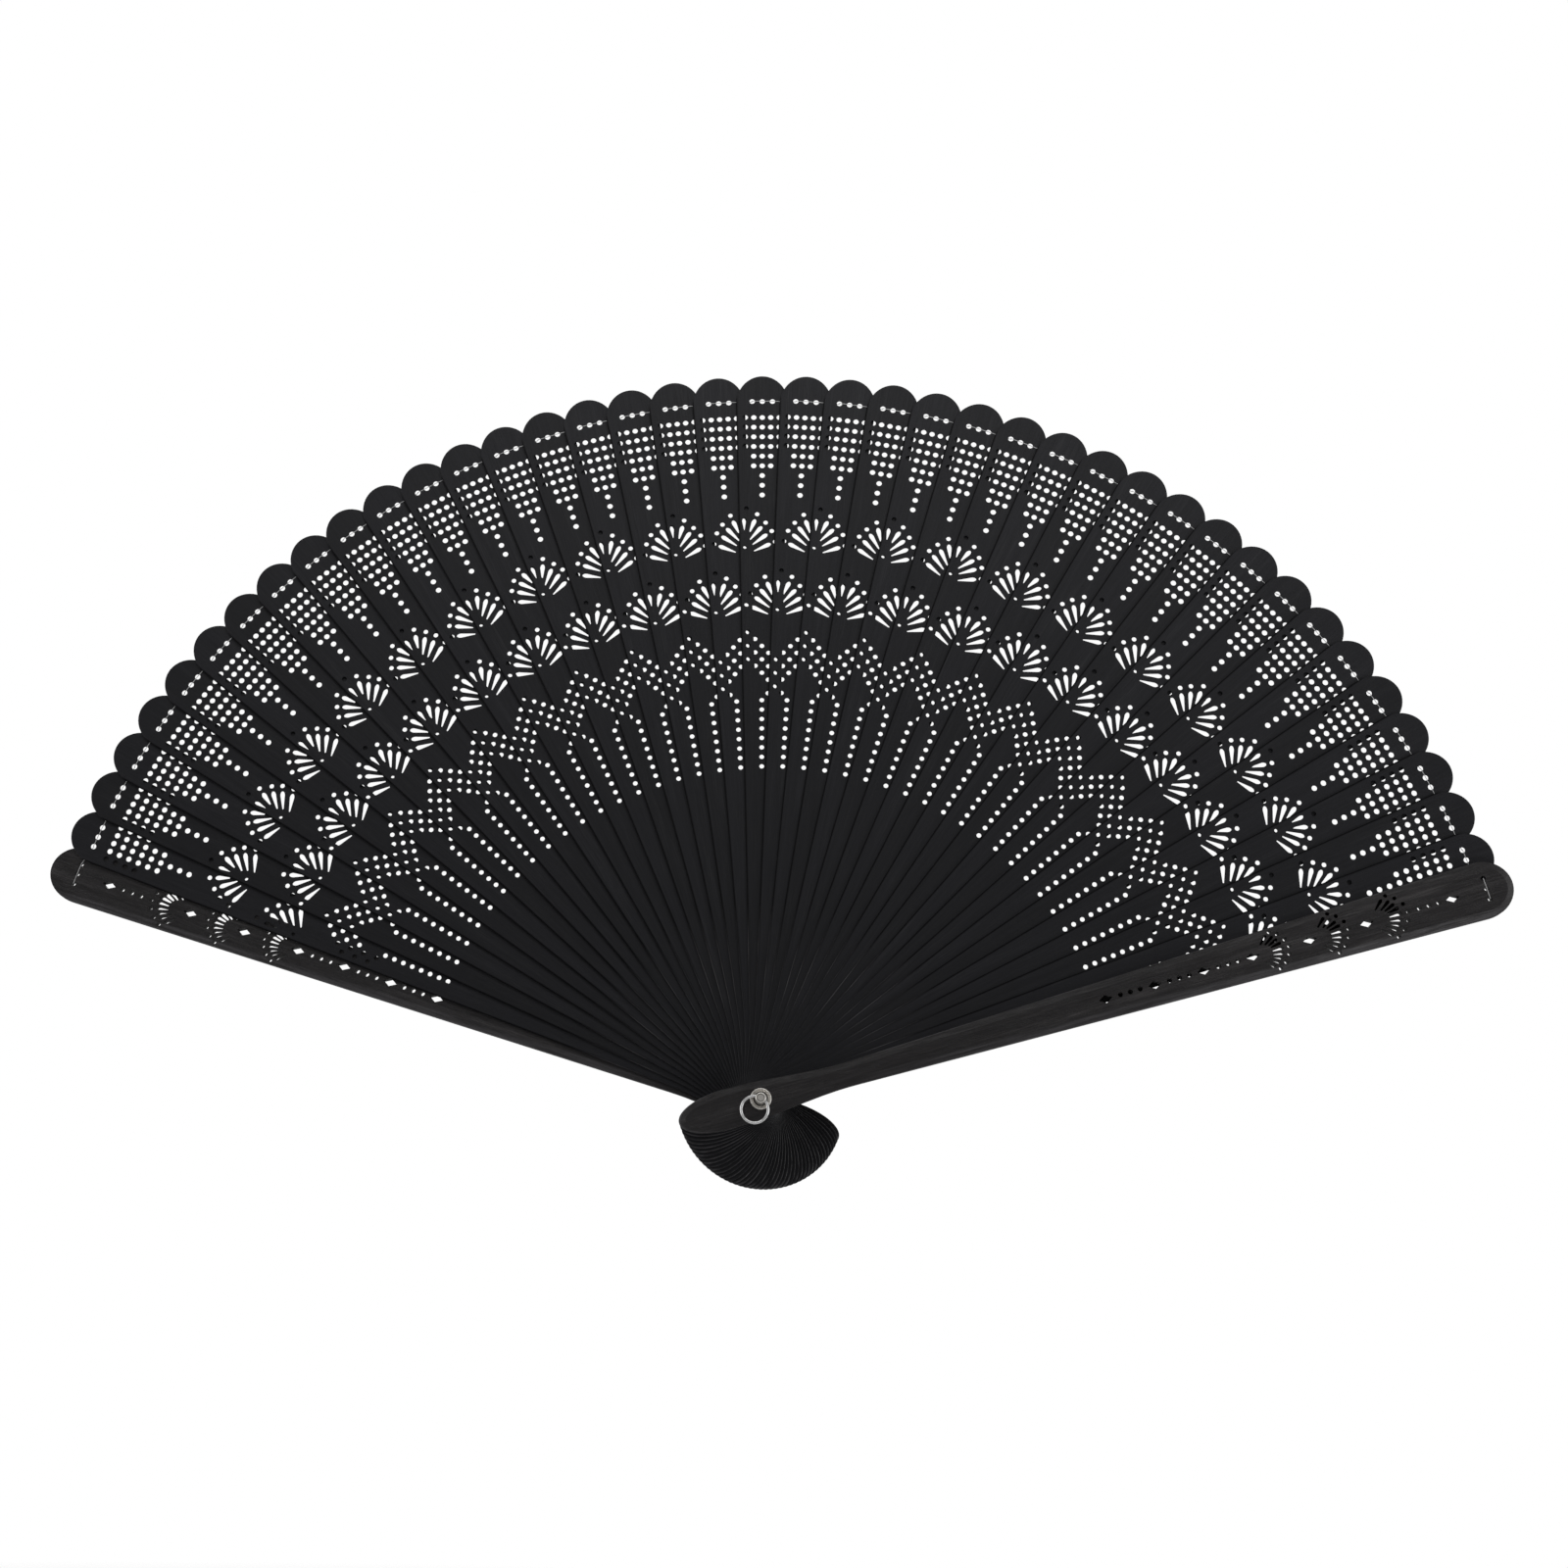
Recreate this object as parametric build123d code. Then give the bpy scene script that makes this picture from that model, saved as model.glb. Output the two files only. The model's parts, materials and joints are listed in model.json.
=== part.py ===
from build123d import *
import os
from math import cos, radians, sin

# A brise folding fan of pierced sticks: two thick guards with forty thin blades between them,
# all turning on one rivet.  The fan stands open in the XZ plane with its front towards -Y.
# The origin is on the rivet's axis, half way through the stack, and the tips point up +Z.
# Sticks are drawn flat: x runs across the stick, y along it from the pivot, z towards the front.

# The fan as a whole: the guards sit a little closer to their blades than the blades do to each other
BLADES = 40
GAPS = BLADES + 1
STEP_ANGLE = 3.56
BACK_GUARD_STEP = 3.3
FRONT_GUARD_STEP = 2.65

# Thicknesses along the stack
BLADE_T = 0.45
GAP = 0.17
PITCH = BLADE_T + GAP
GUARD_T = 3.0
INNER_FACE = (BLADES - 1) / 2 * PITCH + BLADE_T / 2 + GAP
OUTER_FACE = INNER_FACE + GUARD_T

# Stick outlines: radii from the pivot and half widths
BLADE_TIP = 189.5
BLADE_TIP_ROUND = 7.7
GUARD_TIP = 190.7
GUARD_TIP_ROUND = 7.9
TAIL_END = 20.35
TAIL_ROUND = 12.0
NECK_AT = 23.0
ROOT_HALF = 2.35
BLADE_TAPER = 0.0245
GUARD_TAPER = 0.0255
TAIL_HALF = 4.8
BEVEL_WIDTH = 1.7
BEVEL_DEPTH = 0.8
GUARD_EDGE = 0.15
BLADE_EDGE = 0.08

# Drilled holes
HOLE_D = 1.42
FINE_HOLE_D = 1.2
BASE_DOT_D = 0.95
THREAD_ROW = 182.6
GUARD_THREAD_ROW = 183.8
THREAD_GAP = 2.64
GRID_TOP = 178.2
GRID_GAP = 2.2
GRID_ROW = 2.64
GRID_COLUMNS = (5, 5, 5, 5, 3, 3, 1, 1, 1)
COLUMN_TOP = 102.5
COLUMN_ROW = 2.46
COLUMN_HOLES = 8

# Chevron lattice, drawn down from its highest hole
LATTICE_TOP = 120.4
LATTICE_STEP = 1.83
LATTICE_ROW = 3.53
LATTICE_ROWS = 3
LATTICE_SPREAD = 0.95

# Palmettes: half of each is cut in one stick and half in its neighbour
UPPER_PALMETTE = 143.1
LOWER_PALMETTE = 126.3
PETAL_FOOT_R = 0.2
PETAL_HALF = 0.6
PETAL_CAP = 1.05
PETALS = (
    ((0.12, 4.5), (0.12, 7.95)),
    ((1.4, 4.0), (2.9, 7.45)),
    ((1.35, 1.9), (4.6, 5.45)),
    ((2.0, 0.6), (5.9, 3.35)),
    ((2.3, -1.15), (6.7, 0.75)),
)
ARCH_DOTS = ((0.72, 10.3), (3.45, 8.75), (5.55, 6.4), (7.05, 4.1), (7.85, 1.2))
BASE_DOT = (0.06, 0.0)

# Guard piercing
LOZENGE_HALF_WIDTH = 1.03
LOZENGE_HALF_LENGTH = 1.72
LOW_LOZENGE = 86.5
LOW_LOZENGE_GAP = 12.45
LOW_LOZENGES = 4
DOT_GAP = 2.5
GUARD_PALMETTE_GAP = 14.6
GUARD_PALMETTES = 3
GUARD_PALMETTE_RISE = 3.85
GUARD_PALMETTE_FITS = 6.44
TOP_LOZENGE = 175.1
TOP_DOTS_CENTRE = 169.0
GUARD_HOLE_D = 1.2
GUARD_ARCH_DOT_D = 1.0
GUARD_PETAL_FOOT_R = 0.22
GUARD_PETAL_HALF = 0.46
GUARD_PETAL_CAP = 0.6
GUARD_PETALS = (
    ((0.0, 2.0), (0.0, 5.4)),
    ((0.95, 1.8), (1.55, 5.1)),
    ((1.6, 1.3), (2.85, 4.3)),
    ((2.05, 0.4), (3.95, 3.3)),
    ((2.5, -0.9), (4.75, 1.6)),
)
GUARD_ARCH_DOTS = ((0.0, 7.0), (2.15, 6.35), (4.1, 4.75), (5.35, 2.8))

# Rivet, washers and ring
PIN_D = 2.0
PIVOT_D = 2.2
WASHER_D = 5.2
WASHER_BORE = 2.1
WASHER_RIM_R = 0.3
WASHER_SIDE = 0.3
WASHER_FLOOR = 0.2
WASHER_FLOOR_D = 3.6
SEAT = 0.05
COUNTERBORE_D = 5.6
COUNTERBORE_DEPTH = 1.05
BACK_HEAD_D = 3.4
BACK_HEAD_T = 0.5
KNOB_D = 2.6
KNOB_HEIGHT = 2.9
KNOB_ROUND = 0.35
KNOB_DISH_D = 1.6
KNOB_DISH_DEPTH = 0.15
CROSS_HOLE_D = 1.3
CROSS_HOLE_LIFT = 1.25
RING_MEAN_R = 3.22
RING_WIRE_D = 0.7
RING_CENTRE = 3.0
RING_LEAN = 27.5
RING_SEAM = 0.06
RING_SEAM_ANGLE = 113.0

# Binding cord: a flat strand that lies in the gap in front of each stick
CORD_WIDTH = 0.24
CORD_T = 0.11
CORD_POST_D = 0.5
KNOT_D = 0.9


def at_angle(radius, angle):
    """A point at a distance from the pivot and an angle clockwise from straight up."""
    return radius * sin(radians(angle)), radius * cos(radians(angle))


def half_gap(radius):
    """Distance across from a stick's centre line to the line half way to the next stick."""
    return radius * sin(radians(STEP_ANGLE / 2))


def outline(tip, tip_round, taper, inset=0.0):
    """A stick's outline, or one inset from it: round tail, waist, straight taper and rounded tip."""
    tip_base = tip - tip_round
    tip_half = ROOT_HALF + taper * tip_base - inset
    neck_half = ROOT_HALF + taper * NECK_AT - inset
    tail_half = TAIL_HALF - inset
    widest = TAIL_ROUND - TAIL_END
    waist = Spline((tail_half, widest), (neck_half, NECK_AT), tangents=((0, 1), (taper, 1)))
    side = Line((neck_half, NECK_AT), (tip_half, tip_base))
    cap = EllipticalCenterArc((0, tip_base), tip_half, tip_round - inset, 0, arc_size=180)
    tail = EllipticalCenterArc((0, widest), tail_half, TAIL_ROUND - inset, 180, arc_size=180)
    right = [waist, side]
    left = [mirror(edge, about=Plane.YZ) for edge in right]
    return make_face(Curve() + [*right, cap, *left, tail])


def hole(x, y, diameter=HOLE_D):
    return Pos(x, y) * Circle(diameter / 2)


def petal(inner, outer, foot_r, half_width, cap):
    """A leaf-shaped slot from its narrow round foot to its wide elliptical cap."""
    run = Vector(*outer) - Vector(*inner)
    shoulder = run.length - cap
    foot = ThreePointArc((foot_r, foot_r), (0, 0), (-foot_r, foot_r))
    sides = [Line((side * foot_r, foot_r), (side * half_width, shoulder)) for side in (-1, 1)]
    head = EllipticalCenterArc((0, shoulder), half_width, cap, 0, arc_size=180)
    lean = Vector(0, 1).get_signed_angle(run, Vector(0, 0, 1))
    return Pos(*inner) * Rot(0, 0, lean) * make_face(Curve() + [foot, *sides, head])


def half_palmette():
    """Half a palmette, from the joint line towards +x, with its base dot level with the origin."""
    petals = [petal(*ends, PETAL_FOOT_R, PETAL_HALF, PETAL_CAP) for ends in PETALS]
    dots = [hole(x, y, FINE_HOLE_D) for x, y in ARCH_DOTS]
    return petals + dots + [hole(*BASE_DOT, BASE_DOT_D)]


def grid():
    """The comb of holes under the tip, which narrows from five columns to one."""
    return [
        hole((column - (count - 1) / 2) * GRID_GAP, GRID_TOP - row * GRID_ROW)
        for row, count in enumerate(GRID_COLUMNS)
        for column in range(count)
    ]


def lattice():
    """Chevron rows that fall from the right-hand joint line to the left-hand one."""
    holes = []
    for row in range(LATTICE_ROWS):
        for k in range(-2, 3):
            y = LATTICE_TOP - (2 - k) * LATTICE_STEP - row * LATTICE_ROW
            holes.append(hole(k / 2 * half_gap(y) * LATTICE_SPREAD, y, FINE_HOLE_D))
    y = LATTICE_TOP - 3 * LATTICE_STEP - LATTICE_ROWS * LATTICE_ROW
    holes.append(hole(-half_gap(y) / 2 * LATTICE_SPREAD, y, FINE_HOLE_D))
    return holes


def slab(shape, thickness, edge):
    """An outline given a thickness from z = 0 up, whose upper edge narrows by a chamfer."""
    wide = outline(*shape)
    body = extrude(wide, thickness - edge)
    narrow = Pos(0, 0, thickness) * outline(*shape, inset=edge)
    return body + loft([Pos(0, 0, thickness - edge) * wide, narrow], ruled=True)


def blade():
    """A thin stick with the upper half palmette on its right edge and the lower on its left."""
    half_step = STEP_ANGLE / 2
    upper = Rot(0, 0, -half_step) * Pos(0, UPPER_PALMETTE) * Rot(0, 180, 0)
    lower = Rot(0, 0, half_step) * Pos(0, LOWER_PALMETTE)
    holes = [upper * piece for piece in half_palmette()]
    holes += [lower * piece for piece in half_palmette()]
    holes += grid() + lattice()
    holes += [hole(0, COLUMN_TOP - row * COLUMN_ROW, FINE_HOLE_D) for row in range(COLUMN_HOLES)]
    holes += [hole(side * THREAD_GAP, THREAD_ROW) for side in (-1, 0, 1)]
    holes.append(hole(0, 0, PIVOT_D))
    front_half = slab((BLADE_TIP, BLADE_TIP_ROUND, BLADE_TAPER), BLADE_T / 2, BLADE_EDGE)
    body = front_half + mirror(front_half, about=Plane.XY)
    return body - [extrude(face, BLADE_T / 2, both=True) for face in holes]


def lozenge(y):
    corners = (
        (0, y + LOZENGE_HALF_LENGTH),
        (LOZENGE_HALF_WIDTH, y),
        (0, y - LOZENGE_HALF_LENGTH),
        (-LOZENGE_HALF_WIDTH, y),
    )
    return make_face(Polyline(*corners, close=True))


def guard_palmette(y):
    """Nine petals under an arch of seven dots, above the lozenge at y and in scale with the guard's width."""
    size = (ROOT_HALF + GUARD_TAPER * y) / GUARD_PALMETTE_FITS
    y += size * GUARD_PALMETTE_RISE
    pieces = []
    for side in (size, -size):
        for inner, outer in GUARD_PETALS:
            ends = ((side * inner[0], y + size * inner[1]), (side * outer[0], y + size * outer[1]))
            pieces.append(petal(*ends, GUARD_PETAL_FOOT_R, GUARD_PETAL_HALF * size, GUARD_PETAL_CAP * size))
        pieces += [hole(side * x, y + size * rise, GUARD_ARCH_DOT_D) for x, rise in GUARD_ARCH_DOTS]
    return pieces


def guard_holes():
    """Lozenges, dots and palmettes down the middle of a guard."""
    holes = []
    for index in range(LOW_LOZENGES):
        y = LOW_LOZENGE + index * LOW_LOZENGE_GAP
        holes.append(lozenge(y))
        if index < LOW_LOZENGES - 1:
            middle = y + LOW_LOZENGE_GAP / 2
            holes += [hole(0, middle + k * DOT_GAP, GUARD_HOLE_D) for k in (-1, 0, 1)]
    for index in range(GUARD_PALMETTES):
        y = LOW_LOZENGE + (LOW_LOZENGES - 1) * LOW_LOZENGE_GAP + index * GUARD_PALMETTE_GAP
        holes += guard_palmette(y)
        if index:
            holes.append(lozenge(y))
    holes.append(lozenge(TOP_LOZENGE))
    holes += [hole(0, TOP_DOTS_CENTRE + k * DOT_GAP, GUARD_HOLE_D) for k in (-1, 0, 1)]
    holes += [hole(side * THREAD_GAP, GUARD_THREAD_ROW, GUARD_HOLE_D) for side in (-1, 0, 1)]
    holes.append(hole(0, 0, PIVOT_D))
    return holes


def front_guard():
    """The thick outer stick: its inner face is at z = 0 and its bevelled face looks forward."""
    shape = (GUARD_TIP, GUARD_TIP_ROUND, GUARD_TAPER)
    edge_t = GUARD_T - BEVEL_DEPTH
    shoulder = Pos(0, 0, edge_t) * outline(*shape, inset=GUARD_EDGE)
    top = Pos(0, 0, GUARD_T) * outline(*shape, inset=BEVEL_WIDTH)
    body = slab(shape, edge_t, GUARD_EDGE) + loft([shoulder, top], ruled=True)
    return body - [extrude(face, GUARD_T) for face in guard_holes()]


def back_guard():
    """The front guard turned over, with a counterbore that sinks the rivet's back head."""
    floor = GUARD_T - COUNTERBORE_DEPTH / 2
    counterbore = Pos(0, 0, floor) * Cylinder(COUNTERBORE_D / 2, COUNTERBORE_DEPTH)
    return Rot(0, 180, 0) * (front_guard() - counterbore)


def washer():
    """A dished washer with a round raised rim, standing on z = 0."""
    outer = WASHER_D / 2
    bore = WASHER_BORE / 2
    rim_inside = outer - 2 * WASHER_RIM_R
    rim_top = (outer - WASHER_RIM_R, WASHER_SIDE + WASHER_RIM_R)
    rim = ThreePointArc((outer, WASHER_SIDE), rim_top, (rim_inside, WASHER_SIDE))
    dish = Polyline((rim_inside, WASHER_SIDE), (WASHER_FLOOR_D / 2, WASHER_FLOOR), (bore, WASHER_FLOOR))
    base = Polyline((bore, WASHER_FLOOR), (bore, 0), (outer, 0), (outer, WASHER_SIDE))
    return revolve(Plane.XZ * make_face(Curve() + [rim, dish, base]), Axis.Z)


def rivet_pin():
    """The shank with its flat back head and its cross-drilled front knob."""
    head_seat = -OUTER_FACE + COUNTERBORE_DEPTH - 2 * SEAT - WASHER_FLOOR
    knob_base = OUTER_FACE + 2 * SEAT + WASHER_FLOOR
    shank = Pos(0, 0, (head_seat + knob_base) / 2) * Cylinder(PIN_D / 2, knob_base - head_seat)
    head = Pos(0, 0, head_seat - BACK_HEAD_T / 2) * Cylinder(BACK_HEAD_D / 2, BACK_HEAD_T)
    knob = Pos(0, 0, knob_base + KNOB_HEIGHT / 2) * Cylinder(KNOB_D / 2, KNOB_HEIGHT)
    knob = fillet(knob.edges().sort_by(Axis.Z)[-1], KNOB_ROUND)
    knob -= Pos(0, 0, knob_base + KNOB_HEIGHT) * Cylinder(KNOB_DISH_D / 2, 2 * KNOB_DISH_DEPTH)
    cross = Pos(0, 0, OUTER_FACE + CROSS_HOLE_LIFT) * Rot(0, 0, -RING_LEAN) * Rot(0, 90, 0)
    return shank + head + knob - cross * Cylinder(CROSS_HOLE_D / 2, 2 * KNOB_D)


def tassel_ring():
    """The wire ring that hangs from the knob's cross hole, with the seam where its wire ends meet."""
    seam_place = at_angle(RING_MEAN_R, RING_SEAM_ANGLE)
    seam = Rot(0, 0, -RING_SEAM_ANGLE) * Box(RING_SEAM, 2 * RING_WIRE_D, 2 * RING_WIRE_D)
    seam = Pos(*seam_place) * seam
    centre = at_angle(RING_CENTRE, 180 + RING_LEAN)
    return Pos(*centre, OUTER_FACE + CROSS_HOLE_LIFT) * (Torus(RING_MEAN_R, RING_WIRE_D / 2) - seam)


def stick_angle(index):
    """Angle of a stick, counted from the back guard (0) to the front guard."""
    outer_blade = (BLADES - 1) / 2 * STEP_ANGLE
    if index == 0:
        return -outer_blade - BACK_GUARD_STEP
    if index == GAPS:
        return outer_blade + FRONT_GUARD_STEP
    return (index - GAPS / 2) * STEP_ANGLE


def stick_height(index):
    """Middle of the gap in front of a stick, on the stack axis."""
    if index > BLADES:
        return OUTER_FACE + GAP / 2
    return (index - BLADES / 2) * PITCH


def thread_hole(index, side):
    """Place of a stick's left (-1) or right (+1) thread hole in the fan's plane."""
    row = GUARD_THREAD_ROW if index in (0, GAPS) else THREAD_ROW
    turn = Rot(0, 0, -stick_angle(index))
    return (turn * Pos(side * THREAD_GAP, row)).position


def strand(start, end, height):
    """A flat length of cord between two points, in the gap at one height."""
    run = end - start
    strip = Rectangle(run.length + CORD_WIDTH, CORD_WIDTH)
    middle = (start + end) / 2
    turn = Vector(1, 0).get_signed_angle(run, Vector(0, 0, 1))
    return Pos(middle.X, middle.Y, height - CORD_T / 2) * Rot(0, 0, turn) * extrude(strip, CORD_T)


def post(place, low, high, diameter=CORD_POST_D):
    """The cord where it climbs through a thread hole."""
    return Pos(place.X, place.Y, (low + high) / 2) * Cylinder(diameter / 2, high - low)


def binding_cord():
    """One cord: up through each left hole, over the stick, and under the next stick."""
    pieces = []
    for index in range(GAPS + 1):
        height = stick_height(index)
        left = thread_hole(index, -1)
        right = thread_hole(index, 1)
        pieces.append(strand(left, right, height))
        if index:
            pieces.append(post(left, stick_height(index - 1) - CORD_T / 2, height + CORD_T / 2))
        if index < GAPS:
            pieces.append(strand(right, thread_hole(index + 1, -1), height))
    first = thread_hole(0, -1)
    last = thread_hole(GAPS, 1)
    low_knot = -OUTER_FACE + GUARD_T / 2
    high_knot = OUTER_FACE - GUARD_T / 2
    pieces.append(post(first, low_knot, stick_height(0) + CORD_T / 2))
    pieces.append(post(last, high_knot, stick_height(GAPS) + CORD_T / 2))
    pieces.append(Pos(first.X, first.Y, low_knot) * Sphere(KNOT_D / 2))
    pieces.append(Pos(last.X, last.Y, high_knot) * Sphere(KNOT_D / 2))
    return pieces[0].fuse(*pieces[1:])


os.makedirs("parts", exist_ok=True)


def save(name, shape):
    """Stands a flat-drawn piece up in the fan's frame and writes it."""
    piece = Plane.XZ.location * shape
    piece.label = name
    export_step(piece, f"parts/{name}.step")


right_blade = blade()
left_blade = mirror(right_blade, about=Plane.YZ)
for number in range(1, BLADES + 1):
    pattern = right_blade if number % 2 else left_blade
    height = (number - (BLADES + 1) / 2) * PITCH
    save(f"blade_{number:02d}", Pos(0, 0, height) * Rot(0, 0, -stick_angle(number)) * pattern)

save("back_guard", Pos(0, 0, -INNER_FACE) * Rot(0, 0, -stick_angle(0)) * back_guard())
save("front_guard", Pos(0, 0, INNER_FACE) * Rot(0, 0, -stick_angle(GAPS)) * front_guard())
save("front_washer", Pos(0, 0, OUTER_FACE + SEAT) * washer())
save("back_washer", Pos(0, 0, -OUTER_FACE + COUNTERBORE_DEPTH - SEAT) * Rot(0, 180, 0) * washer())
save("rivet_pin", rivet_pin())
save("tassel_ring", tassel_ring())
save("binding_cord", binding_cord())
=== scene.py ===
"""Looks for a folding fan: 42 pierced, dark-stained sticks on one rivet, laced by a thread."""

import json
import math
from collections import namedtuple

import bmesh
import bpy
from mathutils import Matrix, Vector


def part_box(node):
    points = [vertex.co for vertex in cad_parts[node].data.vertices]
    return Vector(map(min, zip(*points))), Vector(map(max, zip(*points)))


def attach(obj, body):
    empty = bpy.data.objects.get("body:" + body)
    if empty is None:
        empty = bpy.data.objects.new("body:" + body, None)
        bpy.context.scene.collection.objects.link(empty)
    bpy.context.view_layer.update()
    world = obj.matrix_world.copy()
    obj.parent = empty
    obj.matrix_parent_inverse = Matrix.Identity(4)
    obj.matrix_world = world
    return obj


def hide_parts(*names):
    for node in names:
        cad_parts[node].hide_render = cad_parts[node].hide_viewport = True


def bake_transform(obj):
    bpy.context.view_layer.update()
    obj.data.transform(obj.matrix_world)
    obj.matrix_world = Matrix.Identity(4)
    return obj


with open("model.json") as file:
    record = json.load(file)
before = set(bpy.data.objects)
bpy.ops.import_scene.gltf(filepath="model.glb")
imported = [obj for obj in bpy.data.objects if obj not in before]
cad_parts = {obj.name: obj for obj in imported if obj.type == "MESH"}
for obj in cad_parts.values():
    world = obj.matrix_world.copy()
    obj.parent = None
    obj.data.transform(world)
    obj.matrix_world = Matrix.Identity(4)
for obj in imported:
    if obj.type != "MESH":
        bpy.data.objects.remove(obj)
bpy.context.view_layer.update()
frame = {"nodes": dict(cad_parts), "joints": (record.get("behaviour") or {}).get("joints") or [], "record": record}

MM = 0.001


def named(items, name):
    return next(item for item in items if item["name"] == name)


# The sticks in order from the back guard, with each one's share of the fan's opening
BLADES = 40
STICKS = ["back_guard"] + [f"blade_{n:02d}" for n in range(1, BLADES + 1)] + ["front_guard"]
record = frame["record"]
ratio_of = {c["joint"]: c["ratio"] for c in record["behaviour"]["couplings"]}
SHARES = [0.0] + [ratio_of[f"{stick}_turn"] for stick in STICKS[1:-1]] + [1.0]

# How far each stick is turned about the rivet from pointing straight up. The mount on the back
# guard's outer face lies on that guard's middle line, which gives the first stick's turn.
SPREAD = math.radians(named(frame["joints"], "fan_fold")["range_deg"][1])
rest_face = named(record["mounts"], "back_rest")["pos_m"]
BACK_TURN = math.atan2(rest_face[0], rest_face[2])
TURNS = [BACK_TURN + share * SPREAD for share in SHARES]

# The stack along the rivet: from stick to stick, between two sticks, and the front guard's face
PITCH = 0.62 * MM
GAP = 0.17 * MM
FRONT_FACE = -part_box("front_guard")[0].y

# A stick's outline: half width at the pivot and its growth, the neck, and the oval tail
ROOT_HALF = 2.35 * MM
BLADE_TAPER = 0.0245
GUARD_TAPER = 0.0255
NECK_AT = 23 * MM
TAIL_WIDEST = -8.35 * MM
TAIL_ROUND = 12 * MM
TAIL_HALF = 4.8 * MM

# Thread holes: how far they are from the pivot, and from the stick's middle line
THREAD_ROW = 182.6 * MM
GUARD_THREAD_ROW = 183.8 * MM
THREAD_HOLE_OUT = 2.64 * MM

FRONT = Vector((0, -1, 0))


def stick_point(index, across, along, front):
    """A point on a stick: across and along it from the pivot, and front towards the viewer."""
    turn = TURNS[index]
    x = along * math.sin(turn) + across * math.cos(turn)
    z = along * math.cos(turn) - across * math.sin(turn)
    return Vector((x, 0, z)) + front * FRONT


def gap_front(index):
    """How far towards the front the thread lies that crosses a stick's front face."""
    if index > BLADES:
        return FRONT_FACE + GAP / 2
    return (index - BLADES / 2) * PITCH


def new_object(name, data):
    obj = bpy.data.objects.new(name, data)
    bpy.context.scene.collection.objects.link(obj)
    return obj


# --------------------------------------------------------------------------------------- materials


class Nodes:
    """A short way to write the node tree of a material or of the world."""

    def __init__(self, owner):
        owner.use_nodes = True
        self.owner = owner
        self.tree = owner.node_tree
        self.tree.nodes.clear()

    def add(self, kind, inputs=None, **settings):
        """A new node. An input is either a value or another node's output."""
        node = self.tree.nodes.new(kind)
        for key, value in settings.items():
            setattr(node, key, value)
        for key, value in (inputs or {}).items():
            if isinstance(value, bpy.types.NodeSocket):
                self.tree.links.new(value, node.inputs[key])
            else:
                node.inputs[key].default_value = value
        return node

    def math(self, operation, a, b=0.0, c=0.0):
        return self.add("ShaderNodeMath", {0: a, 1: b, 2: c}, operation=operation).outputs[0]

    def mean(self, a, share, b):
        """The mean of a and b, where a has the given share."""
        return self.math("MULTIPLY_ADD", a, share, self.math("MULTIPLY", b, 1 - share))

    def vector(self, operation, a, b):
        return self.add("ShaderNodeVectorMath", {0: a, 1: b}, operation=operation).outputs[0]

    def length(self, vector):
        node = self.add("ShaderNodeVectorMath", {0: vector}, operation="LENGTH")
        return node.outputs["Value"]

    def place(self):
        """The point being shaded, in the object's own metres."""
        return self.add("ShaderNodeTexCoord").outputs["Object"]

    def noise(self, vector, scale, detail, roughness):
        inputs = {"Vector": vector, "Scale": scale, "Detail": detail, "Roughness": roughness}
        return self.add("ShaderNodeTexNoise", inputs).outputs["Fac"]

    def ramp(self, value, span, results=(0.0, 1.0)):
        """The first result up to the start of the span, the second one from its end on."""
        inputs = {"Value": value, "From Min": span[0], "From Max": span[1]}
        inputs.update({"To Min": results[0], "To Max": results[1]})
        return self.add("ShaderNodeMapRange", inputs).outputs["Result"]

    def mix(self, factor, a, b):
        return self.add("ShaderNodeMix", {0: factor, 6: a, 7: b}, data_type="RGBA").outputs[2]

    def mix_shaders(self, factor, a, b):
        inputs = {0: factor, 1: a.outputs[0], 2: b.outputs[0]}
        return self.add("ShaderNodeMixShader", inputs)

    def bump(self, height, distance):
        inputs = {"Height": height, "Distance": distance, "Strength": 1.0}
        return self.add("ShaderNodeBump", inputs).outputs["Normal"]

    def end(self, shader, kind="ShaderNodeOutputMaterial"):
        self.add(kind, {"Surface": shader.outputs[0]})
        return self.owner

    def principled(self, **inputs):
        named_inputs = {key.replace("_", " "): value for key, value in inputs.items()}
        return self.end(self.add("ShaderNodeBsdfPrincipled", named_inputs))


def shade(colour, factor):
    return tuple(c * factor for c in colour[:3]) + (1.0,)


def dress(obj, material):
    obj.data.materials.clear()
    obj.data.materials.append(material)


# ---------------------------------------------------------------------------------------- the wood

# A stain: its darkest and lightest colour, its colour where it is thin, half the range of grain
# noise that runs from dark to light, the grain's depth and the mean roughness
Stain = namedtuple("Stain", "dark light thin streak depth roughness")
GUARD_STAIN = Stain(
    dark=(0.0125, 0.0114, 0.0119, 1),
    light=(0.030, 0.0272, 0.0284, 1),
    thin=(0.11, 0.103, 0.104, 1),
    streak=0.12,
    depth=0.06 * MM,
    roughness=0.42,
)
BLADE_STAIN = Stain(
    dark=(0.0058, 0.0059, 0.0078, 1),
    light=(0.0113, 0.0113, 0.0144, 1),
    thin=(0.027, 0.027, 0.030, 1),
    streak=0.15,
    depth=0.02 * MM,
    roughness=0.5,
)

# How far the blades' stains differ, and a step that keeps neighbours from looking alike
TONE_SPREAD = 0.16
TONE_STEP = 2.4

# Layers of grain noise, from fine to coarse, as scale, squeeze along the stick, detail and
# roughness, and how far the noise is shifted from each stick to the next
FIBRES = (7000, 0.02, 4, 0.6)
BANDS = (1300, 0.045, 4, 0.6)
SCUFFS = (420, 0.08, 5, 0.65)
GRAIN_SHIFT = (0.037, 0.0, 0.211)

# The share of fibres in the stain's streaks and of pores in the grain's depth, where bands have
# the rest, and the fibres that count as pores
FIBRE_SHARE = 0.4
PORE_SHARE = 0.55
PORES = (0.32, 0.5)

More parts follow.
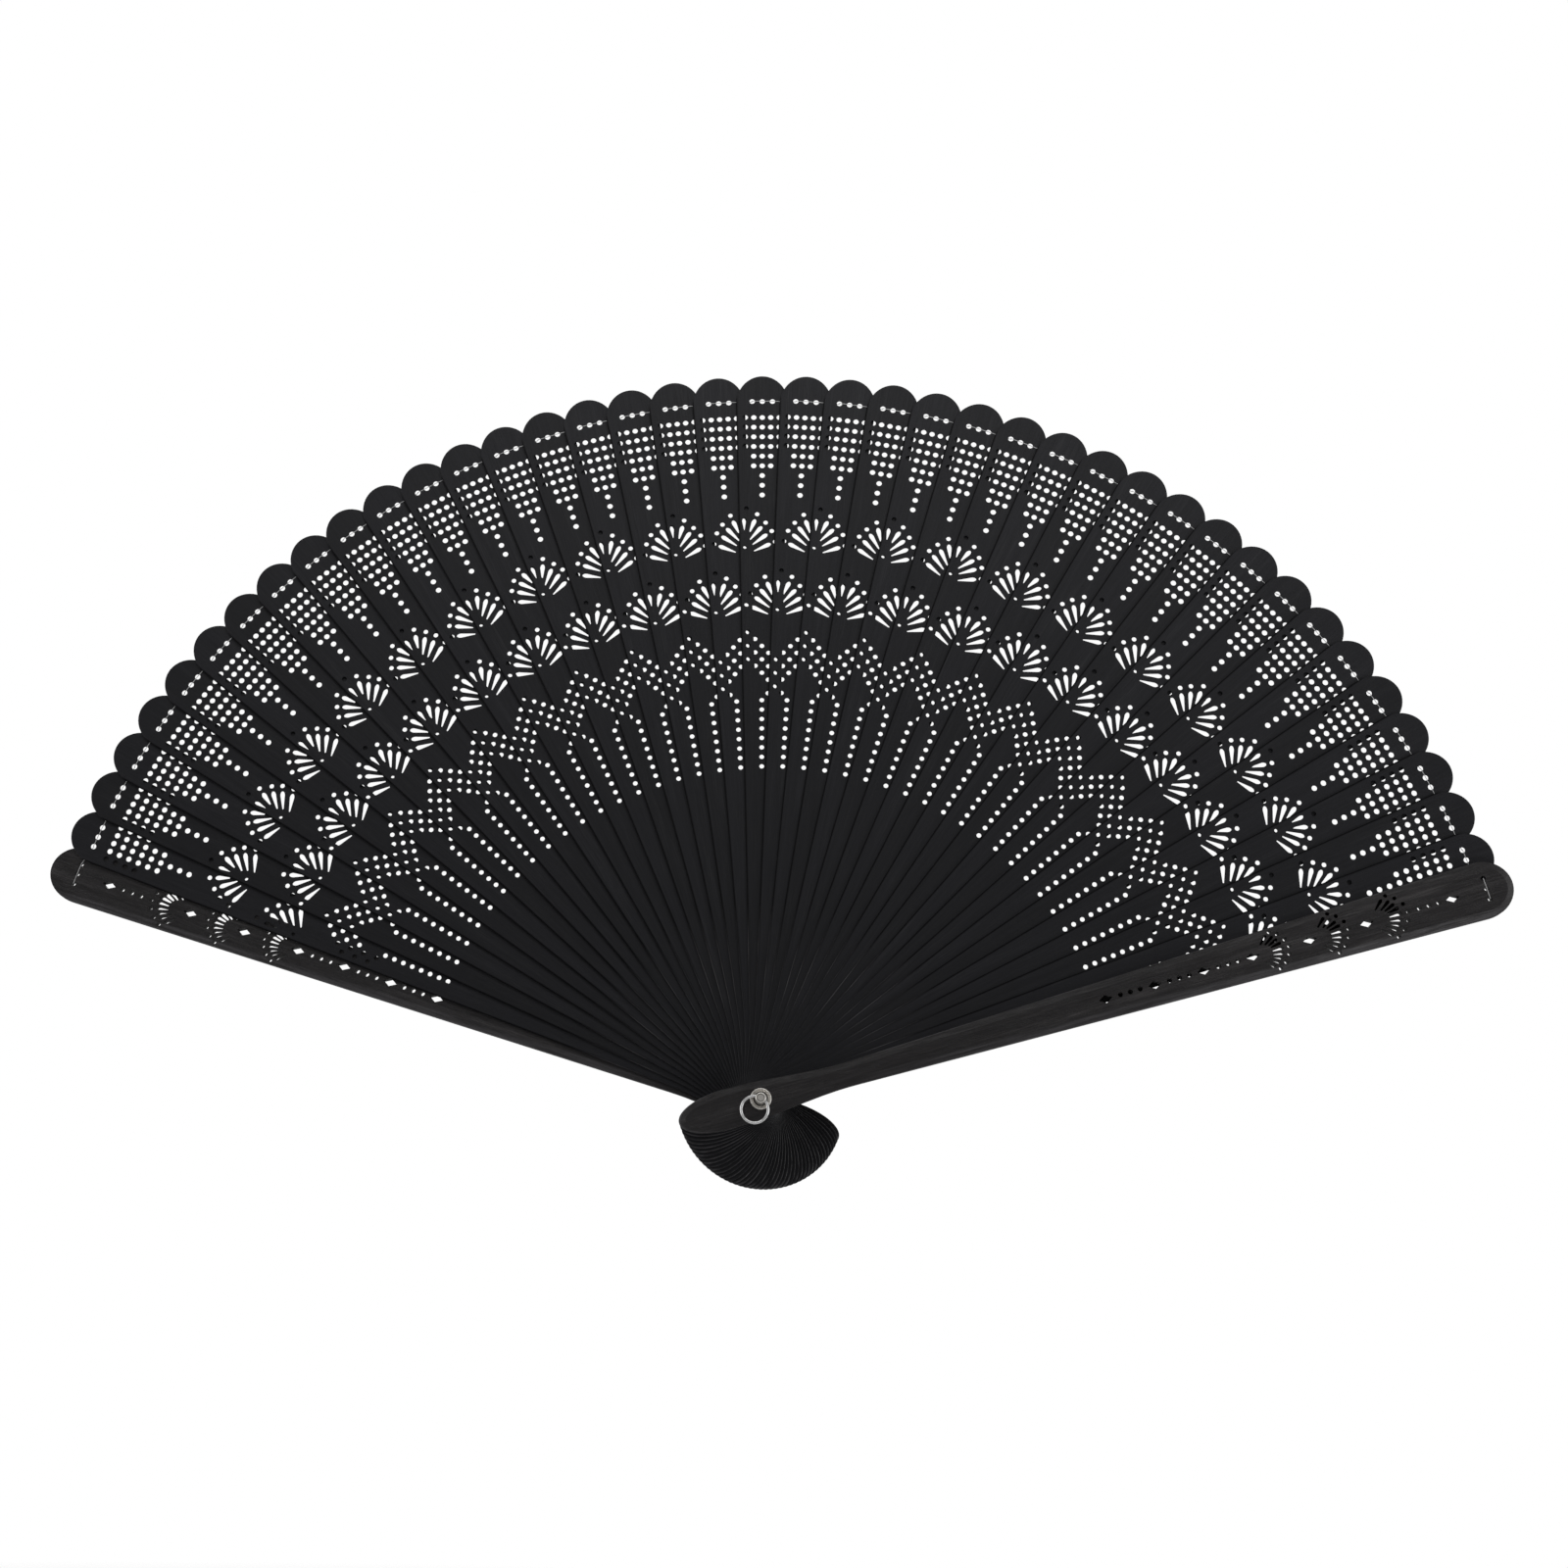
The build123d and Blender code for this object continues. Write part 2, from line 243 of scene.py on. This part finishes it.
# Where the stain is thin: in which scuffs, and on which fibres there
THIN_SCUFFS = (0.52, 0.78)
THIN_FIBRES = (0.4, 0.62)

# The shine: which fibres make it, how far the roughness goes from its mean, the specular level
# and its loss in a seam
SHINE_FIBRES = (0.3, 0.7)
ROUGHNESS_CHANGE = 0.06
SPECULAR = 0.3
SEAM_SPECULAR_LOSS = -0.24

# The painted shadow of the seam along a blade's edges, where it lies on its neighbour: its width and
# strength, and where it grows strong
SEAM_SHADE = (0.0008, 0.0008, 0.001, 1)
SEAM_WIDTH = (0.15 * MM, 0.5 * MM)
SEAM_STRENGTH = 0.9
SEAM_ALONG = (NECK_AT, 2.2 * NECK_AT)
SEAM_BELOW_NECK = 0.1

# Painted highlight along a stick's long edges and round its tail, patchy like rubbed-off stain: how
# wide, from where along the stick, to where it falls to its strength beyond, on which rim of the
# tail, and in which scuffs
EDGE_HIGHLIGHT = (0.105, 0.102, 0.107, 1)
HIGHLIGHT_WIDTH = (0.0, 0.3 * MM)
HIGHLIGHT_FROM = (NECK_AT, NECK_AT + 8 * MM)
HIGHLIGHT_TO = (36 * MM, 50 * MM)
GUARD_HIGHLIGHT_BEYOND = 0.8
BLADE_HIGHLIGHT_BEYOND = 0.0
TAIL_RIM = (0.95, 0.985)
TAIL_HIGHLIGHT_TO = (TAIL_WIDEST, TAIL_WIDEST + 4 * MM)
HIGHLIGHT_SCUFFS = (0.42, 0.62)
HIGHLIGHT_RANGE = (0.08, 1.0)

# Painted sheen on the bevel of a guard's outer side: its width, from where along the guard, in which bands
BEVEL_SHEEN = (0.095, 0.091, 0.097, 1)
BEVEL_WIDTH = (1.275 * MM, 1.87 * MM)
BEVEL_FROM = (NECK_AT, 2 * NECK_AT)
BEVEL_STREAKS = (0.36, 0.66)
BEVEL_RANGE = (0.1, 0.75)

# A spot on a stick: x and its size, how far it is along the stick, half the stick's width there,
# and how far inside the stick's nearer long edge it is
Spot = namedtuple("Spot", "x across along half inside")


def spot_on(n, turned, taper):
    split = n.add("ShaderNodeSeparateXYZ", {0: turned}).outputs
    across = n.math("ABSOLUTE", split["X"])
    half = n.math("MULTIPLY_ADD", split["Z"], taper, ROOT_HALF)
    return Spot(split["X"], across, split["Z"], half, n.math("SUBTRACT", half, across))


def seam_shadow(n, spot):
    """Painted shadow along a blade's two straight edges, which draws a dark seam where blades overlap."""
    seam = n.ramp(spot.inside, SEAM_WIDTH, (SEAM_STRENGTH, 0.0))
    return n.math("MULTIPLY", seam, n.ramp(spot.along, SEAM_ALONG, (SEAM_BELOW_NECK, 1.0)))


def painted_edge_highlight(n, spot, beyond, scuffs):
    """Painted highlight on a stick's long edges and round its tail, in patches."""
    side = n.ramp(spot.inside, HIGHLIGHT_WIDTH, (1.0, 0.0))
    side = n.math("MULTIPLY", side, n.ramp(spot.along, HIGHLIGHT_FROM))
    side = n.math("MULTIPLY", side, n.ramp(spot.along, HIGHLIGHT_TO, (1.0, beyond)))
    below = n.math("MINIMUM", n.math("SUBTRACT", spot.along, TAIL_WIDEST), 0.0)
    oval = n.add(
        "ShaderNodeCombineXYZ",
        {0: n.math("DIVIDE", spot.across, TAIL_HALF), 2: n.math("DIVIDE", below, TAIL_ROUND)},
    )
    tail = n.ramp(n.length(oval.outputs[0]), TAIL_RIM)
    tail = n.math("MULTIPLY", tail, n.ramp(spot.along, TAIL_HIGHLIGHT_TO, (1.0, 0.0)))
    patches = n.ramp(scuffs, HIGHLIGHT_SCUFFS, HIGHLIGHT_RANGE)
    return n.math("MULTIPLY", n.math("MAXIMUM", side, tail), patches)


def painted_bevel_sheen(n, spot, outward, bands):
    """Painted sheen on the bevel on a guard's outer side, which is +x or -x."""
    inside = n.math("SUBTRACT", spot.half, n.math("MULTIPLY", spot.x, outward))
    band = n.ramp(inside, BEVEL_WIDTH, (1.0, 0.0))
    band = n.math("MULTIPLY", band, n.ramp(spot.along, BEVEL_FROM))
    return n.math("MULTIPLY", band, n.ramp(bands, BEVEL_STREAKS, BEVEL_RANGE))


def grain_layer(n, place, scale, squeeze, detail, roughness):
    """Noise drawn out along the stick, by squeezing the place it is looked up at."""
    squeezed = n.vector("MULTIPLY", place, (1.0, 1.0, squeeze))
    return n.noise(squeezed, scale, detail, roughness)


def wood(index, stick):
    """Stained wood whose grain runs along one stick, paler where the stain is thin, with painted
    shadow in a blade's seams, painted highlight on the edges and painted sheen on a guard's bevel.
    """
    guard = stick.endswith("guard")
    stain = GUARD_STAIN if guard else BLADE_STAIN
    tone = 1.0 if guard else 1.0 + TONE_SPREAD * math.sin(index * TONE_STEP)
    n = Nodes(bpy.data.materials.new(f"stain_{stick}"))
    turned = n.add(
        "ShaderNodeVectorRotate",
        {"Vector": n.place(), "Angle": -TURNS[index]},
        rotation_type="Y_AXIS",
    ).outputs[0]
    shifted = n.vector("ADD", turned, tuple(index * shift for shift in GRAIN_SHIFT))
    fibres, bands, scuffs = (grain_layer(n, shifted, *layer) for layer in (FIBRES, BANDS, SCUFFS))

    grain = n.mean(fibres, FIBRE_SHARE, bands)
    lightness = n.ramp(grain, (0.5 - stain.streak, 0.5 + stain.streak))
    colour = n.mix(lightness, shade(stain.dark, tone), shade(stain.light, tone))
    thin = n.math("MULTIPLY", n.ramp(scuffs, THIN_SCUFFS), n.ramp(fibres, THIN_FIBRES))
    colour = n.mix(thin, colour, shade(stain.thin, tone))

    if guard:
        spot, beyond, seam = spot_on(n, turned, GUARD_TAPER), GUARD_HIGHLIGHT_BEYOND, 0.0
        outward = 1.0 if index else -1.0
        # Painted sheen on the guard's outer bevel
        colour = n.mix(painted_bevel_sheen(n, spot, outward, bands), colour, BEVEL_SHEEN)
    else:
        spot, beyond = spot_on(n, turned, BLADE_TAPER), BLADE_HIGHLIGHT_BEYOND
        # Painted shadow in the seams along the blade's edges
        seam = seam_shadow(n, spot)
        colour = n.mix(seam, colour, SEAM_SHADE)
    # Painted highlight along the edges and round the tail, in patches
    colour = n.mix(painted_edge_highlight(n, spot, beyond, scuffs), colour, EDGE_HIGHLIGHT)

    rough, smooth = stain.roughness + ROUGHNESS_CHANGE, stain.roughness - ROUGHNESS_CHANGE
    return n.principled(
        Base_Color=colour,
        Roughness=n.ramp(fibres, SHINE_FIBRES, (rough, smooth)),
        Specular_IOR_Level=n.math("MULTIPLY_ADD", seam, SEAM_SPECULAR_LOSS, SPECULAR),
        Normal=n.bump(n.mean(n.ramp(fibres, PORES), PORE_SHARE, bands), stain.depth),
    )


for index, stick in enumerate(STICKS):
    dress(frame["nodes"][stick], wood(index, stick))


# --------------------------------------------------------------------------------------- the metal

# Noise of scratches and patina, as scale against the metal's own, detail and roughness
SCRATCHES = (1.0, 3, 0.6)
SCRATCH_RANGE = (0.3, 0.7)
SCRATCH_DEPTH = 0.003 * MM
SCRATCH_ROUGHNESS = 0.14
PATINA = (0.16, 2, 0.5)
PATINA_RANGE = (0.35, 0.7)
PATINA_SHADE = 0.88
METALLIC = 0.6

# Rings of painted shade round the rivet, at the knob's foot and in its dish, mottled by the patina,
# as mean radius and half width, and the part of that half width that is fully dark
WASHER_GROOVES = ((1.58 * MM, 0.3 * MM), (0.86 * MM, 0.08 * MM))
GROOVE_SHADE = (0.035, 0.032, 0.03, 1)
GROOVE_SHADE_CORE = 0.4
GROOVE_SHADE_PATINA = (0.3, 0.6)
GROOVE_SHADE_RANGE = (0.7, 1.0)


def metal(name, colour, roughness, scale, grooves=()):
    """Bright metal, darkened by painted shade in rings round the rivet."""
    n = Nodes(bpy.data.materials.new(name))
    place = n.place()
    scratches, patina = (
        n.noise(place, scale * size, detail, noise_roughness)
        for size, detail, noise_roughness in (SCRATCHES, PATINA)
    )
    tint = n.mix(n.ramp(patina, PATINA_RANGE), colour, shade(colour, PATINA_SHADE))
    radius = n.length(n.vector("MULTIPLY", place, (1.0, 0.0, 1.0)))
    for middle, half_width in grooves:
        off = n.math("ABSOLUTE", n.math("SUBTRACT", radius, middle))
        depth = n.ramp(off, (half_width * GROOVE_SHADE_CORE, half_width), (1.0, 0.0))
        ring_shade = n.math("MULTIPLY", depth, n.ramp(patina, GROOVE_SHADE_PATINA, GROOVE_SHADE_RANGE))
        # Painted shade in a ring of the dish
        tint = n.mix(ring_shade, tint, GROOVE_SHADE)
    rough = n.ramp(scratches, SCRATCH_RANGE, (roughness, roughness + SCRATCH_ROUGHNESS))
    return n.principled(
        Base_Color=tint,
        Metallic=METALLIC,
        Roughness=rough,
        Normal=n.bump(scratches, SCRATCH_DEPTH),
    )


nickel = metal("nickel", (0.84, 0.81, 0.76, 1), 0.2, 2600, WASHER_GROOVES)
steel_wire = metal("steel_wire", (0.94, 0.94, 0.94, 1), 0.1, 3200)
for node in ("rivet_pin", "front_washer", "back_washer"):
    dress(frame["nodes"][node], nickel)
dress(frame["nodes"]["tassel_ring"], steel_wire)


# ---------------------------------------------------------------------------------------- the cord

# The thread's section and twist
STRAND_HALF_WIDTH = 0.085 * MM
STRAND_HALF_THICK = 0.055 * MM
STRAND_SIDES = 12
PLY_SWELL = 0.14
TWIST_LENGTH = 0.9 * MM
RINGS_PER_MM = 9

# The sine of the smallest angle to the front at which a thread still has a side of its own
SIDELESS = 0.05

# The thread's colours and depth, and its noise as scale, detail and roughness
THREAD_DARK = (0.5, 0.5, 0.505, 1)
THREAD_LIGHT = (0.78, 0.78, 0.78, 1)
THREAD_STAIN = (0.3, 0.3, 0.305, 1)
THREAD_ROUGHNESS = 0.75
THREAD_SHEEN = 0.2
FUZZ = (9000, 3, 0.6)
FUZZ_RANGE = (0.3, 0.7)
FUZZ_DEPTH = 0.03 * MM
SPOTS = (260, 2, 0.5)
SPOTS_RANGE = (0.45, 0.75)
SPOTS_STRENGTH = 0.3


def thread_material():
    n = Nodes(bpy.data.materials.new("thread"))
    place = n.place()
    fuzz = n.noise(place, *FUZZ)
    spots = n.ramp(n.noise(place, *SPOTS), SPOTS_RANGE, (0.0, SPOTS_STRENGTH))
    colour = n.mix(n.ramp(fuzz, FUZZ_RANGE), THREAD_DARK, THREAD_LIGHT)
    return n.principled(
        Base_Color=n.mix(spots, colour, THREAD_STAIN),
        Roughness=THREAD_ROUGHNESS,
        Sheen_Weight=THREAD_SHEEN,
        Normal=n.bump(fuzz, FUZZ_DEPTH),
    )


def walk(corners):
    """Closely spaced points along a line with corners."""
    path = [corners[0]]
    for a, b in zip(corners, corners[1:]):
        steps = max(1, round((b - a).length / MM * RINGS_PER_MM))
        path += [a.lerp(b, k / steps) for k in range(1, steps + 1)]
    return path


def strand(name, corners):
    """A flat two-ply thread along a line with corners, with the twist of its plies."""
    path = walk(corners)
    mesh = bmesh.new()
    rings = []
    walked = 0.0
    for k, point in enumerate(path):
        before = path[max(0, k - 1)]
        after = path[min(len(path) - 1, k + 1)]
        along = (after - before).normalized()
        if k:
            walked += (point - before).length
        side = along.cross(FRONT)
        side = side.normalized() if side.length > SIDELESS else Vector((1, 0, 0))
        thick = side.cross(along).normalized()
        twist = walked / TWIST_LENGTH * math.tau
        ring = []
        for s in range(STRAND_SIDES):
            angle = s / STRAND_SIDES * math.tau
            swell = 1.0 + PLY_SWELL * math.cos(2 * (angle - twist))
            offset = side * (math.cos(angle) * STRAND_HALF_WIDTH * swell)
            offset += thick * (math.sin(angle) * STRAND_HALF_THICK)
            ring.append(mesh.verts.new(point + offset))
        rings.append(ring)
    for a, b in zip(rings, rings[1:]):
        for s in range(STRAND_SIDES):
            t = (s + 1) % STRAND_SIDES
            mesh.faces.new((a[s], a[t], b[t], b[s]))
    mesh.faces.new(list(reversed(rings[0])))
    mesh.faces.new(rings[-1])
    bmesh.ops.recalc_face_normals(mesh, faces=mesh.faces)
    data = bpy.data.meshes.new(name)
    mesh.to_mesh(data)
    mesh.free()
    for face in data.polygons:
        face.use_smooth = True
    obj = new_object(name, data)
    dress(obj, thread)
    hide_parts("binding_cord")
    return obj


def thread_hole(index, side, front):
    """The middle of a stick's left (-1) or right (1) thread hole, as far front as given."""
    row = GUARD_THREAD_ROW if index in (0, BLADES + 1) else THREAD_ROW
    return stick_point(index, side * THREAD_HOLE_OUT, row, front)


# On each stick the thread comes up the left hole and crosses the front face to the right hole.
# From there it spans the gap to the next stick's left hole. The piece on each stick is attached to
# that stick, and each span is baked in place.
thread = thread_material()
for index, stick in enumerate(STICKS):
    front = gap_front(index)
    left, right = thread_hole(index, -1, front), thread_hole(index, 1, front)
    corners = [left, right]
    if index:
        corners.insert(0, thread_hole(index, -1, gap_front(index - 1)))
    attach(strand(f"thread_on_{stick}", corners), stick)
    if index <= BLADES:
        onward = thread_hole(index + 1, -1, front)
        span = strand(f"thread_from_{stick}", [right, onward])
        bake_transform(span)


# ------------------------------------------------------------------------------------------- stage

# The floor: matt, lifted towards white where it is seen directly, and clear further out
FLOOR_Z = -0.15
FLOOR_RADIUS = 3.0
FLOOR_SIDES = 96
FLOOR_FADE = (0.3, 0.65)
FLOOR_LIFT = 0.6
FLOOR_MATT = (0.86, 0.86, 0.865, 1)
FLOOR_PALE = (0.95, 0.95, 0.95, 1)


def floor_material():
    """Pale and matt near the fan, fading into the background further out."""
    n = Nodes(bpy.data.materials.new("pale_floor"))
    matt = n.add("ShaderNodeBsdfDiffuse", {"Color": FLOOR_MATT})
    pale = n.add("ShaderNodeEmission", {"Color": FLOOR_PALE})
    seen_directly = n.add("ShaderNodeLightPath").outputs["Is Camera Ray"]
    lifted = n.mix_shaders(n.math("MULTIPLY", seen_directly, FLOOR_LIFT), matt, pale)
    clear = n.add("ShaderNodeBsdfTransparent")
    return n.end(n.mix_shaders(n.ramp(n.length(n.place()), FLOOR_FADE), lifted, clear))


disc = bmesh.new()
bmesh.ops.create_circle(disc, cap_ends=True, segments=FLOOR_SIDES, radius=FLOOR_RADIUS)
floor_mesh = bpy.data.meshes.new("floor")
disc.to_mesh(floor_mesh)
disc.free()
floor = new_object("floor", floor_mesh)
floor.location = (0, 0, FLOOR_Z)
floor.data.materials.append(floor_material())

# Each lamp's place, the point it faces and its two sizes, in metres, and its watts
LAMPS = {
    "key": ((0.05, -0.45, 0.5), (0, 0, 0.18), (0.7, 0.2), 1.15),
    "fill": ((-0.4, -0.5, -0.4), (-0.02, 0, -0.01), (0.4, 0.12), 2.4),
    "low": ((0.44, -0.64, -0.49), (0.1, 0, 0.04), (0.5, 0.15), 5.5),
    "back": ((0.3, 1.2, 0.9), (0, 0, 0.08), (1.0, 0.7), 7),
}

for name, (place, aim, size, watts) in LAMPS.items():
    light = bpy.data.lights.new(name, "AREA")
    light.shape = "RECTANGLE"
    light.size, light.size_y = size
    light.energy = watts
    lamp = new_object(name, light)
    lamp.location = place
    lamp.rotation_euler = (Vector(aim) - Vector(place)).to_track_quat("-Z", "Y").to_euler()

# Even light from all round, with brighter panels at both sides for the metal to mirror. A panel
# grows to full strength between two sideways parts of the direction. The camera sees white.
AMBIENT = 0.2
PANEL_STRENGTH = 1.6
PANEL_SIDE = (0.62, 0.9)
WHITE = (1, 1, 1, 1)

world = bpy.data.worlds.new("studio")
bpy.context.scene.world = world
sky = Nodes(world)
ray = sky.add("ShaderNodeLightPath").outputs
direction = sky.add("ShaderNodeTexCoord").outputs["Generated"]
sideways = sky.math("ABSOLUTE", sky.add("ShaderNodeSeparateXYZ", {0: direction}).outputs["X"])
panels = sky.ramp(sideways, PANEL_SIDE, (AMBIENT, PANEL_STRENGTH))
strength = sky.add("ShaderNodeMix", {0: ray["Is Glossy Ray"], 2: AMBIENT, 3: panels}).outputs[0]
lit = sky.add("ShaderNodeBackground", {"Color": WHITE, "Strength": strength})
shown = sky.add("ShaderNodeBackground", {"Color": WHITE, "Strength": 1.0})
sky.end(sky.mix_shaders(ray["Is Camera Ray"], lit, shown), "ShaderNodeOutputWorld")

bpy.context.scene.view_settings.view_transform = "Standard"

# The camera, with its lens and sensor width in mm
CAMERA_AT = Vector((5.7, -657.7, -68.8)) * MM
CAMERA_AIM = Vector((3.1, 0.0, 80.8)) * MM
CAMERA_ROLL = math.radians(1.81)
LENS = 61.65
SENSOR_WIDTH = 36
CLIP_START = 10 * MM

camera_data = bpy.data.cameras.new("camera")
camera_data.lens = LENS
camera_data.sensor_width = SENSOR_WIDTH
camera_data.clip_start = CLIP_START
camera = new_object("camera", camera_data)
camera.rotation_mode = "QUATERNION"
facing = (CAMERA_AIM - CAMERA_AT).normalized().to_track_quat("-Z", "Y").to_matrix().to_4x4()
roll = Matrix.Rotation(CAMERA_ROLL, 4, "Z")
camera.matrix_world = Matrix.Translation(CAMERA_AT) @ facing @ roll
bpy.context.scene.camera = camera
